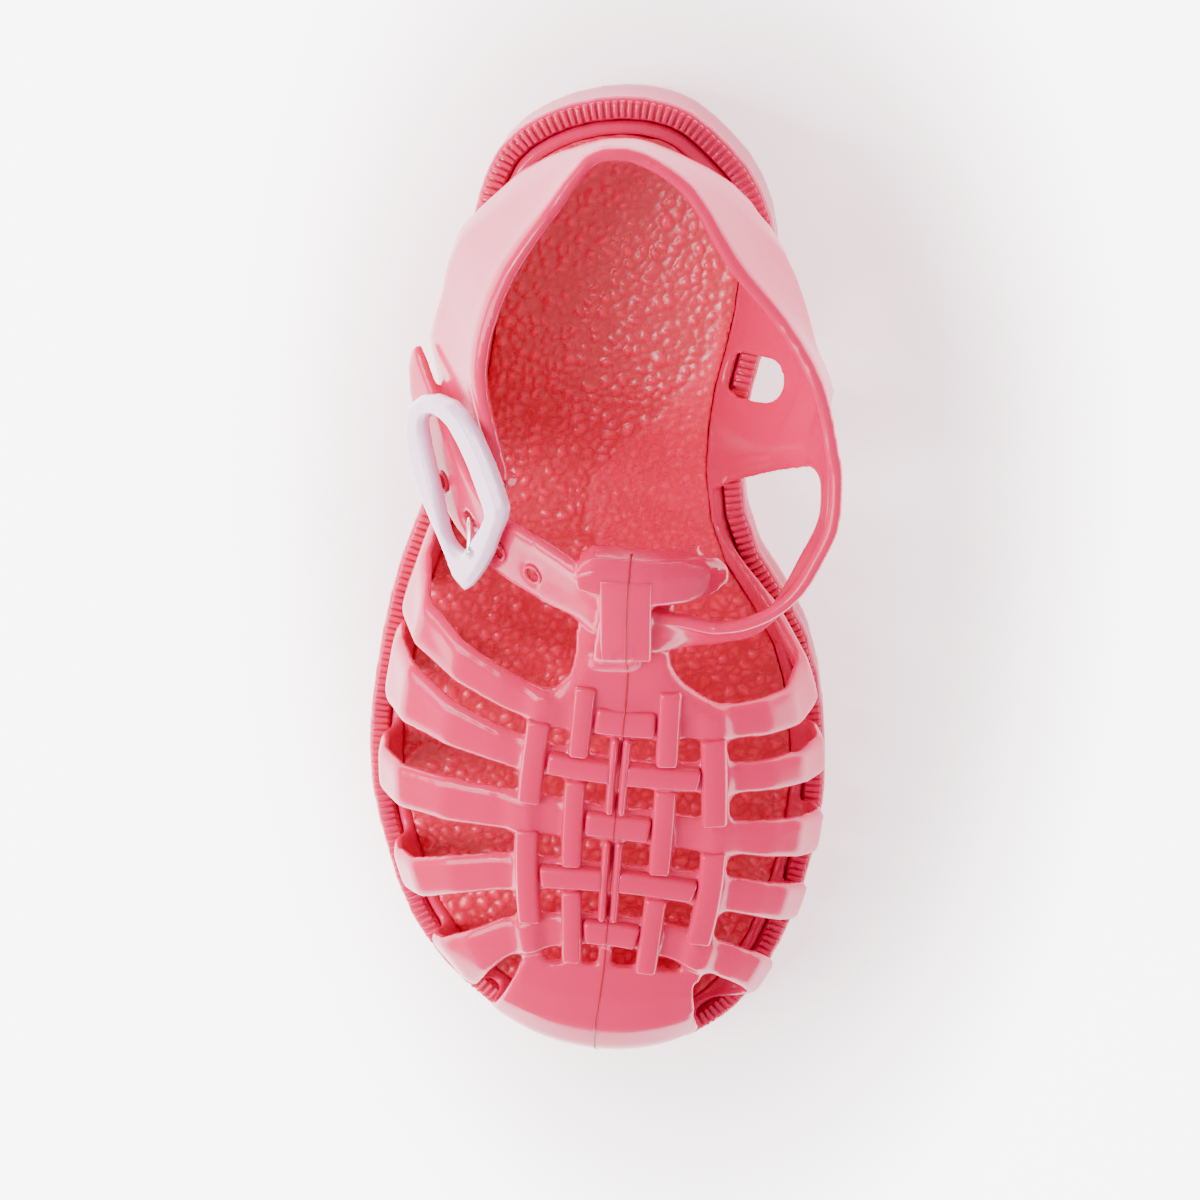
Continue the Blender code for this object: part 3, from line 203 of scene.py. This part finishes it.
def softened(name, node, mat, voxel, rounds, grow=0.0, crisp=None, keep=1.0):
    # copy of a solid with its edges rounded as a mould rounds them, its sides grown a little
    bm = mergedCopy(node)
    bm.normal_update()
    for vert, way in [(v, v.normal.copy()) for v in bm.verts]:
        flat = Vector((way.x, way.y, 0))
        if flat.length > 0.3:
            vert.co += flat.normalized() * grow
    obj = addObject(name, bm, mat)
    remesh = obj.modifiers.new("Remesh", "REMESH")
    remesh.mode = "VOXEL"
    remesh.voxel_size = voxel
    settle(obj)
    bm = bmesh.new()
    bm.from_mesh(obj.data)
    for i in range(rounds):
        verts = [v for v in bm.verts if i < 2 or not (crisp and crisp(v.co))]
        bmesh.ops.smooth_vert(bm, verts=verts, factor=0.5, use_axis_x=True, use_axis_y=True,
                              use_axis_z=True)
    bm.to_mesh(obj.data)
    bm.free()
    if keep < 1:
        thin = obj.modifiers.new("Decimate", "DECIMATE")
        thin.ratio = keep
        settle(obj)
    obj.data.shade_smooth()
    print(name, len(obj.data.polygons), "faces")
    return obj


def dress(obj, node):
    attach(obj, "root")
    if node:
        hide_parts(node)
    return obj


def surfaceTree(node):
    bm = mergedCopy(node)
    tree = BVHTree.FromBMesh(bm)
    bm.free()
    return tree


def onTop(tree, x, y, start=0.09):  # highest point of a surface over a place, with its normal
    hit = tree.ray_cast(Vector((x, y, start)), Vector((0, 0, -1)))
    return hit[0], hit[1]


# Upper

def moulding():
    shape = {"voxel": 0.56 * mm, "rounds": 14, "keep": 0.70}
    # stretches in mm that keep their edges
    weave = {"left": -14.5, "right": 17.0, "front": -73.0, "back": -17.5}
    keeper = {"left": -7.0, "right": 22.0, "front": -10.0, "back": 26.0}

    def crisp(co):
        return any(box["left"] < co.x / mm < box["right"] and box["front"] < co.y / mm < box["back"]
                   for box in (weave, keeper))

    return dress(softened("softUpper", "upper", jelly, **shape, crisp=crisp), "upper")


def wire(name, path, radius, mat):  # thin round seam or rim along points, as a mesh
    curve = bpy.data.curves.new(name, "CURVE")
    curve.dimensions = "3D"
    curve.bevel_depth = radius
    curve.bevel_resolution = 2
    curve.use_fill_caps = True
    spline = curve.splines.new("POLY")
    spline.points.add(len(path) - 1)
    for point, co in zip(spline.points, path):
        point.co = (*co, 1)
    holder = bpy.data.objects.new(name, curve)
    bpy.context.scene.collection.objects.link(holder)
    bpy.context.view_layer.update()
    mesh = bpy.data.meshes.new_from_object(holder.evaluated_get(bpy.context.evaluated_depsgraph_get()))
    bpy.data.objects.remove(holder)
    bm = bmesh.new()
    bm.from_mesh(mesh)
    bmesh.ops.remove_doubles(bm, verts=bm.verts, dist=0.002 * mm)
    bmesh.ops.recalc_face_normals(bm, faces=bm.faces)
    return addObject(name, bm, mat)


def weaveOpenings(tree):
    # openings between the strips, in rows from the tongue to the toe cap: left, right, front, rear
    zone = {"left": -15.0 * mm, "front": -70.0 * mm, "across": 130, "along": 200, "step": 0.3 * mm}

    def isOpen(i, k):
        return onTop(tree, zone["left"] + i * zone["step"], zone["front"] + k * zone["step"])[0] is None

    cells = {(i, k) for i in range(zone["across"]) for k in range(zone["along"]) if isOpen(i, k)}
    found = []
    while cells:
        waiting = [cells.pop()]
        opening = list(waiting)
        while waiting:
            i, k = waiting.pop()
            for cell in ((i + 1, k), (i - 1, k), (i, k + 1), (i, k - 1)):
                if cell in cells:
                    cells.discard(cell)
                    opening.append(cell)
                    waiting.append(cell)
        xs = [zone["left"] + i * zone["step"] for i, k in opening]
        ys = [zone["front"] + k * zone["step"] for i, k in opening]
        found.append((sum(ys) / len(ys), (min(xs), max(xs), min(ys), max(ys))))
    found = [box for middle, box in sorted(found, reverse=True)]
    # one opening at each side of a row and four between the strips
    return [sorted(found[k:k + 6]) for k in range(0, 30, 6)]


def lineAt(line, at):  # value at a place on a line of (place, value) points, which runs on at its ends
    line = sorted(line)
    k = max(0, min(len(line) - 2, sum(place < at for place, value in line) - 1))
    (a, u), (b, v) = line[k:k + 2]
    return u + (v - u) * (at - a) / (b - a)


def weaveGrid(tree):  # where the strips cross on the upper, in rows from the tongue to the toe cap
    strapWidth = 7.2 * mm  # the first strap's, as the tongue hides its rear edge
    rows = weaveOpenings(tree)
    strips, straps = [], []
    for j in range(5):
        strips.append([((row[j][2] + row[j][3] + row[j + 1][2] + row[j + 1][3]) / 4,
                        (row[j][1] + row[j + 1][0]) / 2) for row in rows])
    for i, row in enumerate(rows):
        rears = [box[2] for box in rows[i - 1]] if i else [box[3] + strapWidth for box in row]
        straps.append([((box[0] + box[1]) / 2, (rear + box[3]) / 2) for rear, box in zip(rears, row)])
    grid = []
    for strap in straps:
        points = []
        for strip in strips:
            x, y = strip[2][1], strap[2][1]
            for again in range(4):
                x, y = lineAt(strip, y), lineAt(strap, x)
            points.append(onTop(tree, x, y)[0])
        grid.append(points)
    return grid


def onCurve(points, s):  # smooth curve through three points, by distance from the middle one
    before, here, after = points
    first, second = (here - before).length, (after - here).length
    return (before * s * (s - second) / (first * (first + second))
            - here * (s + first) * (s - second) / (first * second)
            + after * s * (s + first) / (second * (first + second)))


def pad(bm, points, middle, length, width, height, sideways):
    # add a bent bar with round edges along a curve through three points
    bar = bmesh.new()
    bmesh.ops.create_cube(bar, size=1.0)
    bmesh.ops.scale(bar, verts=bar.verts, vec=(width, length, height))
    long = [e for e in bar.edges if abs((e.verts[0].co - e.verts[1].co).y) > length * 0.5]
    bmesh.ops.subdivide_edges(bar, edges=long, cuts=8, use_grid_fill=True)
    bar.normal_update()
    bmesh.ops.bevel(bar, geom=[e for e in bar.edges if e.calc_face_angle(0) > 1], offset=0.36 * height,
                    offset_type="OFFSET", segments=4, profile=0.5, affect="EDGES", material=-1)
    for vert in bar.verts:
        s = vert.co.y + middle
        spot = onCurve(points, s)
        run = (onCurve(points, s + 0.1 * mm) - spot).normalized()
        up = sideways.cross(run).normalized()
        if up.z < 0:
            up = -up
        crown = 0.22 * height * (2 * vert.co.x / width) ** 2
        vert.co = spot + run.cross(up) * vert.co.x + up * (vert.co.z - height / 2 - crown)
    mesh = bpy.data.meshes.new("pad")
    bar.to_mesh(mesh)
    bar.free()
    bm.from_mesh(mesh)
    bpy.data.meshes.remove(mesh)


def weavePads(tree, grid):  # raised runs of the basket weave: each strip stands proud where it passes over
    look = {"lift": 0.55 * mm, "height": 2.0 * mm, "between": 0.35 * mm,
            "strip": (4.0, 3.6, 1.5, 3.8, 4.4), "strap": (5.2, 4.3, 4.9, 4.4, 4.9)}
    bm = bmesh.new()
    for i, row in enumerate(grid):
        for j, here in enumerate(row):
            stripOver = (i + j) % 2 == 1
            if stripOver:
                before = grid[i - 1][j] if i else here + (here - grid[i + 1][j]) * 0.9
                after = grid[i + 1][j] if i < 4 else here + (here - grid[i - 1][j]) * 0.8
                across = row[min(j + 1, 4)] - row[max(j - 1, 0)]
                width, taken = look["strip"][j], look["strap"]
                k = i
            else:
                before = row[j - 1] if j else here + (here - row[j + 1]) * 0.8
                after = row[j + 1] if j < 4 else here + (here - row[j - 1]) * 0.7
                across = grid[min(i + 1, 4)][j] - grid[max(i - 1, 0)][j]
                width, taken = look["strap"][i], look["strip"]
                k = j
            if not stripOver and j in (0, 4):
                continue
            start = (here - before).length - taken[max(k - 1, 0)] * mm / 2 - look["between"]
            end = (after - here).length - taken[min(k + 1, 4)] * mm / 2 - look["between"]
            up = (after - before).cross(across).normalized()
            if up.z < 0:
                up = -up
            points = [p + up * look["lift"] for p in (before, here, after)]
            run = (after - before).normalized()
            sideways = run.cross(up).normalized()
            pairs = [0.0]
            if stripOver and j == 2:  # the middle strip is two thin ridges beside the mould's seam
                pairs = [-1.05, 1.05]
            for aside in pairs:
                moved = [p + sideways * aside * mm for p in points]
                pad(bm, moved, (end - start) / 2, start + end, width * mm, look["height"], sideways)
    # the keeper's strip stands proud of the bar end and of the tongue
    keeper = {"line": ((7.8, 16.6), (7.4, 9.3), (7.0, 1.0)), "width": 8.2 * mm, "height": 1.5 * mm,
              "lift": 0.5 * mm}
    lift = Vector((0, 0, keeper["lift"]))
    points = [onTop(tree, x * mm, y * mm)[0] + lift for x, y in keeper["line"]]
    first, second = (points[1] - points[0]).length, (points[2] - points[1]).length
    pad(bm, points, (second - first) / 2, first + second, keeper["width"], keeper["height"],
        Vector((-1, 0, 0)))
    bmesh.ops.recalc_face_normals(bm, faces=bm.faces)
    obj = dress(addObject("weavePads", bm, jelly), None)
    print("weavePads", len(obj.data.polygons), "faces")
    return obj


def seams(onto, grid):
    # flash line left by the mould: down the tongue, between the ridges of the weave, over the toe cap
    line = {"radius": 0.22 * mm, "sunk": 0.10 * mm, "step": 0.5 * mm, "break": 1.6 * mm}
    places = [(8.6, 20.5), (7.9, 14.0), (7.5, 9.0), (7.1, 1.6), (6.9, -3.0), (6.3, -9.0)]
    places += [(row[2].x / mm, row[2].y / mm) for row in grid[1:]]
    places += [(0.3, -64.0), (-0.6, -69.5), (-1.4, -74.0), (-2.0, -80.0), (-2.2, -85.0)]
    bm = mergedCopy("upper")
    bm.from_mesh(onto.data)
    tree = BVHTree.FromBMesh(bm)
    bm.free()
    runs, path = [], []
    for (x0, y0), (x1, y1) in zip(places, places[1:]):
        steps = max(1, int(math.hypot(x1 - x0, y1 - y0) * mm / line["step"]))
        for k in range(steps):
            share = k / steps
            top, normal = onTop(tree, (x0 + (x1 - x0) * share) * mm, (y0 + (y1 - y0) * share) * mm)
            if top and path and (top - path[-1]).length > line["break"]:
                runs.append(path)
                path = []
            if top:
                path.append(top - normal * line["sunk"])
    runs.append(path)
    for i, run in enumerate(r for r in runs if len(r) > 2):
        dress(wire("mouldSeam%d" % (i + 1), run, line["radius"], seam), None)


# Sole

def outsole():
    shape = {"voxel": 0.85 * mm, "rounds": 2, "grow": 0.2 * mm}
    return dress(softened("softSole", "sole", jelly, **shape), "sole")


def flangeLoops():  # outer and inner edge of the flange's top, as closed loops of points
    bm = mergedCopy("sole")
    bmesh.ops.triangulate(bm, faces=bm.faces)
    bm.normal_update()
    seed = max((f for f in bm.faces if f.normal.z > 0.9), key=lambda f: f.calc_center_median().y)
    found, waiting = {seed}, [seed]
    while waiting:
        face = waiting.pop()
        for edge in face.edges:
            for other in edge.link_faces:
                if other not in found and other.normal.z > 0.9 and other.normal.angle(face.normal) < 0.3:
                    found.add(other)
                    waiting.append(other)
    left = {e for e in bm.edges if sum(f in found for f in e.link_faces) == 1}
    loops = []
    while left:
        edge = left.pop()
        start, here = edge.verts
        loop = [start.co.copy(), here.co.copy()]
        while here is not start:
            edge = next((e for e in here.link_edges if e in left), None)
            if edge is None:
                break
            left.discard(edge)
            here = edge.other_vert(here)
            if here is not start:
                loop.append(here.co.copy())
        loops.append(loop)
    bm.free()
    loops.sort(key=lambda pts: -sum((a - b).length for a, b in zip(pts, pts[1:])))
    return loops[:2]


def evenly(loop, count):  # a closed loop's points, spaced evenly
    closed = loop + [loop[0]]
    lengths = [0.0]
    for a, b in zip(closed, closed[1:]):
        lengths.append(lengths[-1] + (b - a).length)
    out, i = [], 0
    for k in range(count):
        target = lengths[-1] * k / count
        while lengths[i + 1] < target:
            i += 1
        share = (target - lengths[i]) / max(lengths[i + 1] - lengths[i], 1e-9)
        out.append(closed[i].lerp(closed[i + 1], share))
    return out


def flangeRibs():  # ring of small ribs across the flange, as on the moulded welt of the real sole
    rib = {"pitch": 1.25 * mm, "width": 0.8 * mm, "height": 0.55 * mm, "over": 0.15 * mm,
           "round": 0.25 * mm}
    outer, inner = flangeLoops()
    girth = sum((a - b).length for a, b in zip(outer, outer[1:] + outer[:1]))
    count = int(girth / rib["pitch"])
    points = evenly(outer, count)
    edge = evenly(inner, 600)
    bm = bmesh.new()
    for i, point in enumerate(points):
        run = (points[(i + 1) % count] - points[i - 1]).normalized()
        nearest = min(edge, key=lambda p: (p - point).length)
        reach = (nearest - point).length
        inwards = Vector((-run.y, run.x, 0)).normalized()
        if inwards.dot(nearest - point) < 0:
            inwards = -inwards
        up = run.cross(inwards)
        if up.z < 0:
            up = -up
        made = bmesh.ops.create_cube(bm, size=1.0)["verts"]
        bmesh.ops.scale(bm, verts=made, vec=(rib["width"], reach, rib["height"] * 2))
        edges = list({e for v in made for e in v.link_edges})
        rounded = bmesh.ops.bevel(bm, geom=edges, offset=rib["round"], offset_type="OFFSET", segments=2,
                                  profile=0.5, affect="EDGES", material=-1)["faces"]
        made = list({v for f in rounded for v in f.verts})
        turn = Matrix((run, inwards, up)).transposed().to_4x4()
        turn.translation = point + inwards * (reach / 2 - rib["over"])
        bmesh.ops.transform(bm, matrix=turn, verts=made)
    bmesh.ops.recalc_face_normals(bm, faces=bm.faces)
    obj = dress(addObject("flangeRibs", bm, jelly), None)
    print("flangeRibs", count, len(obj.data.polygons), "faces")


# Footbed

def footbed():  # insole with its pebbled top in relief; the instep's inner side has a finer grain
    pebbles = {"size": 1.8 * mm, "height": 0.45 * mm, "fine": 1.1 * mm, "fineHeight": 0.24 * mm}
    zone = [(21.5, 51.0), (20.0, 44.5), (16.5, 39.5), (11.0, 32.5), (4.0, 26.5), (-1.0, 21.0),
            (-2.0, 13.0), (0.5, 8.0), (2.0, 5.0), (30.0, 5.0)]
    obj = softened("pebbledFootbed", "insole", pebbled, 0.432 * mm, 1, grow=0.35 * mm)
    bm = bmesh.new()
    bm.from_mesh(obj.data)
    bm.normal_update()
    # per-vertex amount of painted shade, darkest in the gaps between pebbles
    paintedGapShade = bm.verts.layers.float.new("paintedGapShade")

    def inZone(x, y):
        inside = False
        for (x0, y0), (x1, y1) in zip(zone, zone[1:] + zone[:1]):
            if (y0 > y) != (y1 > y) and x < (x1 - x0) * (y - y0) / (y1 - y0) + x0:
                inside = not inside
        return inside

    moves = []
    for vert in bm.verts:
        if vert.normal.z < 0.6:
            continue
        fine = inZone(vert.co.x / mm, vert.co.y / mm)
        size = pebbles["fine"] if fine else pebbles["size"]
        height = pebbles["fineHeight"] if fine else pebbles["height"]
        flat = Vector((vert.co.x, vert.co.y, 0)) / size
        flat += noise.noise_vector(flat * 0.6) * 0.35
        near = noise.voronoi(flat)[0]
        rise = min(1.0, (near[1] - near[0]) * 1.6)
        # painted shade grows as a vertex sinks between pebbles, less on the finer grain
        moves.append((vert, height * (rise - 0.6), (0.55 if fine else 0.9) * (1 - rise)))
    for vert in bm.verts:
        vert[paintedGapShade] = 0.25
    for vert, rise, gapShade in moves:
        vert.co.z += rise
        vert[paintedGapShade] = gapShade
    bm.to_mesh(obj.data)
    bm.free()
    obj.data.shade_smooth()
    dress(obj, "insole")


# Buckle

def buckle():
    dress(softened("milkyFrame", "buckle_frame", milky, 0.3 * mm, 2), "buckle_frame")
    prong = addObject("steelProng", mergedCopy("buckle_prong"), steel)
    rounding = prong.modifiers.new("Subdivision", "SUBSURF")
    rounding.levels = rounding.render_levels = 1
    settle(prong)
    dress(prong, "buckle_prong")


def strapHoles():
    # middle and outward direction of the strap's round holes, from the sharp rings at their ends
    hole = {"girth": math.pi * 2.4 * mm, "within": 0.3 * mm, "sharp": 0.8, "lowest": 25 * mm}
    bm = mergedCopy("upper")
    bm.normal_update()
    left = {e for e in bm.edges if e.calc_face_angle(0) > hole["sharp"] and e.verts[0].co.z > hole["lowest"]
            and e.verts[0].co.x < 0 and 8 * mm < e.verts[0].co.y < 40 * mm}
    rings = []
    while left:
        waiting = [left.pop()]
        ring = list(waiting)
        while waiting:
            for edge in {e for v in waiting.pop().verts for e in v.link_edges} & left:
                left.discard(edge)
                ring.append(edge)
                waiting.append(edge)
        if abs(sum(e.calc_length() for e in ring) - hole["girth"]) < hole["within"]:
            spots = {v: v.co.copy() for e in ring for v in e.verts}
            rings.append(sum(spots.values(), Vector()) / len(spots))
    bm.free()
    holes = []
    for ring in rings:
        twin = min((r for r in rings if r is not ring), key=lambda r: (r - ring).length)
        if (twin - ring).length < 3 * mm and ring.z > twin.z:
            holes.append((ring, (ring - twin).normalized()))
    return sorted(holes, key=lambda found: found[0].x)


def holeRims():  # raised rims round the strap's holes
    rim = {"ring": 1.55 * mm, "wire": 0.3 * mm, "above": 0.02 * mm, "steps": 20}
    for i, (spot, out) in enumerate(strapHoles()):
        side = out.orthogonal().normalized()
        other = out.cross(side)
        turns = [t * math.tau / rim["steps"] for t in range(rim["steps"] + 1)]
        path = [spot + out * rim["above"] + (side * math.cos(t) + other * math.sin(t)) * rim["ring"]
                for t in turns]
        dress(wire("holeRim%d" % (i + 1), path, rim["wire"], jelly), None)


moulding()
upperTree = surfaceTree("upper")
crossings = weaveGrid(upperTree)
seams(weavePads(upperTree, crossings), crossings)
outsole()
flangeRibs()
footbed()
if "buckle_frame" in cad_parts:
    buckle()
    holeRims()


# Floor, lights and camera

def whiteFloor():  # white floor that glows like overexposed paper; close to the shoe its glow is a painted soft shadow, a little dimmer and tinted pink with painted bounce light
    glow = {"near": 1.6, "far": 6.0, "tint": (1.0, 0.89, 0.92, 1), "half": (0.050, 0.094), "aside": -0.28}
    mat, tree, shader = newMaterial("whiteFloor")
    shader.inputs["Base Color"].default_value = (0.94, 0.935, 0.935, 1)
    shader.inputs["Roughness"].default_value = 0.6
    shape = tree.nodes.new("ShaderNodeMapping")
    shape.inputs["Scale"].default_value = (1 / glow["half"][0], 1 / glow["half"][1], 1)
    shape.inputs["Location"].default_value = (glow["aside"], 0, 0)
    tree.links.new(place(tree), shape.inputs["Vector"])
    away = tree.nodes.new("ShaderNodeVectorMath")
    away.operation = "LENGTH"
    tree.links.new(shape.outputs["Vector"], away.inputs[0])
    paintedShadowRamp = tree.nodes.new("ShaderNodeMapRange")
    paintedShadowRamp.interpolation_type = "SMOOTHSTEP"
    paintedShadowRamp.inputs["From Min"].default_value = 0.9
    paintedShadowRamp.inputs["From Max"].default_value = 1.7
    tree.links.new(away.outputs["Value"], paintedShadowRamp.inputs["Value"])
    # near the shoe the glow is dimmer and pinker: a painted shadow with painted pink bounce light
    tree.links.new(blend(tree, paintedShadowRamp.outputs["Result"], glow["tint"], (1, 1, 1, 1)),
                   shader.inputs["Emission Color"])
    tree.links.new(spread(tree, paintedShadowRamp.outputs["Result"], glow["near"], glow["far"]),
                   shader.inputs["Emission Strength"])
    bm = bmesh.new()
    bmesh.ops.create_grid(bm, x_segments=1, y_segments=1, size=3.0)
    addObject("whiteFloor", bm, mat)


def lights():
    world = bpy.data.worlds.new("softWhite")
    world.use_nodes = True
    world.node_tree.nodes["Background"].inputs["Color"].default_value = (1, 0.80, 0.85, 1)
    world.node_tree.nodes["Background"].inputs["Strength"].default_value = 1.1
    bpy.context.scene.world = world
    boxes = [
        # name, place, size, power
        ("leftSoftbox", (-0.85, -0.10, 0.75), (0.6, 0.9), 19),
        ("windowStrip", (-0.45, 0.15, 0.80), (0.06, 0.5), 4),
    ]
    for name, spot, size, power in boxes:
        light = bpy.data.lights.new(name, "AREA")
        light.shape = "RECTANGLE"
        light.size, light.size_y = size
        light.energy = power
        obj = bpy.data.objects.new(name, light)
        obj.location = spot
        obj.rotation_euler = (Vector((0, 0, 0.02)) - Vector(spot)).to_track_quat("-Z", "Y").to_euler()
        bpy.context.scene.collection.objects.link(obj)


def photoCamera():  # camera at the photo's place, turned to the one shoe and closer
    view = {"place": (0.0396, 0.1576, 0.5), "tilt": 17, "lens": 74.55, "closer": 1.2,
            "aim": (0.0, -0.001, 0.012)}
    camera = bpy.data.cameras.new("photoCamera")
    camera.lens = view["lens"] * view["closer"]
    camera.clip_start = 0.01
    obj = bpy.data.objects.new("photoCamera", camera)
    tilted = Matrix.Rotation(math.radians(-view["tilt"]), 3, "X")
    towards = Vector(view["aim"]) - Vector(view["place"])
    turn = (tilted @ Vector((0, 0, -1))).rotation_difference(towards).to_matrix()
    obj.matrix_world = Matrix.Translation(view["place"]) @ (turn @ tilted).to_4x4()
    bpy.context.scene.collection.objects.link(obj)
    bpy.context.scene.camera = obj


whiteFloor()
lights()
photoCamera()
